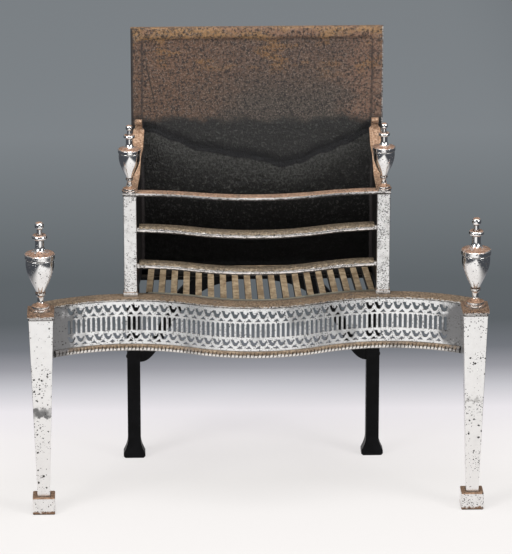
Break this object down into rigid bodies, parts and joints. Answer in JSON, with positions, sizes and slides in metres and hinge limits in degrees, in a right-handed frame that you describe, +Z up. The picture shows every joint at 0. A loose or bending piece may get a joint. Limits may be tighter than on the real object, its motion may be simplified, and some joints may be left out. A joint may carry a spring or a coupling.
{
  "type": "fire grate",
  "caption": "Free-standing serpentine fire grate: bowed bars and tall iron back over a lift-out bottom grid, pierced front frieze, square tapering front legs with urn finials.",
  "frame": {"origin": "on the floor, at the middle of the outline in X and Y", "axes": "+X to the right seen from the front, +Y to the back, +Z up; the serpentine front faces -Y"},
  "size_m": [0.8556, 0.33, 0.856],
  "materials": {
    "polished_steel": "polished steel with small dark rust pits and a brown patina on upward faces",
    "black_iron": "black wrought iron, satin",
    "patinated_iron": "brown patinated iron with brighter worn edges",
    "grid_iron": "brown-grey oxidised iron",
    "cast_back": "pitted cast iron, rusty above and sooty black below"
  },
  "bodies": {
    "frame": {"angle_rivets": "black_iron", "back_plate": "cast_back", "bearer_bolts": "black_iron", "brace_rivets": "black_iron", "cheek_angle_left": "black_iron", "cheek_angle_right": "black_iron", "cheek_plate_left": "black_iron", "cheek_plate_right": "black_iron", "cheek_rivets": "black_iron", "cheek_strap_left": "patinated_iron", "cheek_strap_right": "patinated_iron", "frieze_gadroon": "polished_steel", "frieze_panel": "polished_steel", "frieze_rail": "polished_steel", "frieze_screws": "polished_steel", "front_bearer": "black_iron", "front_foot_left": "polished_steel", "front_foot_right": "polished_steel", "front_leg_left": "polished_steel", "front_leg_right": "polished_steel", "gadroon_rivets": "polished_steel", "large_urn_cover_left": "polished_steel", "large_urn_cover_right": "polished_steel", "large_urn_foot_left": "polished_steel", "large_urn_foot_right": "polished_steel", "large_urn_stud_left": "polished_steel", "large_urn_stud_right": "polished_steel", "large_urn_vase_left": "polished_steel", "large_urn_vase_right": "polished_steel", "leg_cap_left": "polished_steel", "leg_cap_right": "polished_steel", "lower_bar": "polished_steel", "middle_bar": "polished_steel", "plate_bolts": "black_iron", "rail_rivets": "black_iron", "rear_bearer": "black_iron", "rear_brace_left": "black_iron", "rear_brace_right": "black_iron", "rear_leg_left": "black_iron", "rear_leg_right": "black_iron", "small_urn_cover_left": "polished_steel", "small_urn_cover_right": "polished_steel", "small_urn_foot_left": "polished_steel", "small_urn_foot_right": "polished_steel", "small_urn_stud_left": "polished_steel", "small_urn_stud_right": "polished_steel", "small_urn_vase_left": "polished_steel", "small_urn_vase_right": "polished_steel", "standard_left": "polished_steel", "standard_nuts": "polished_steel", "standard_right": "polished_steel", "top_bar": "polished_steel"},
    "bottom_grid": {"grid_bars": "grid_iron", "grid_front_strip": "grid_iron", "grid_rear_strip": "grid_iron"}
  },
  "joints": [
    {"name": "grid_lift", "type": "slide", "parent": "frame", "child": "bottom_grid", "axis": [-0.02, 0, 0.9998], "range_m": [0, 0.5]}
  ]
}
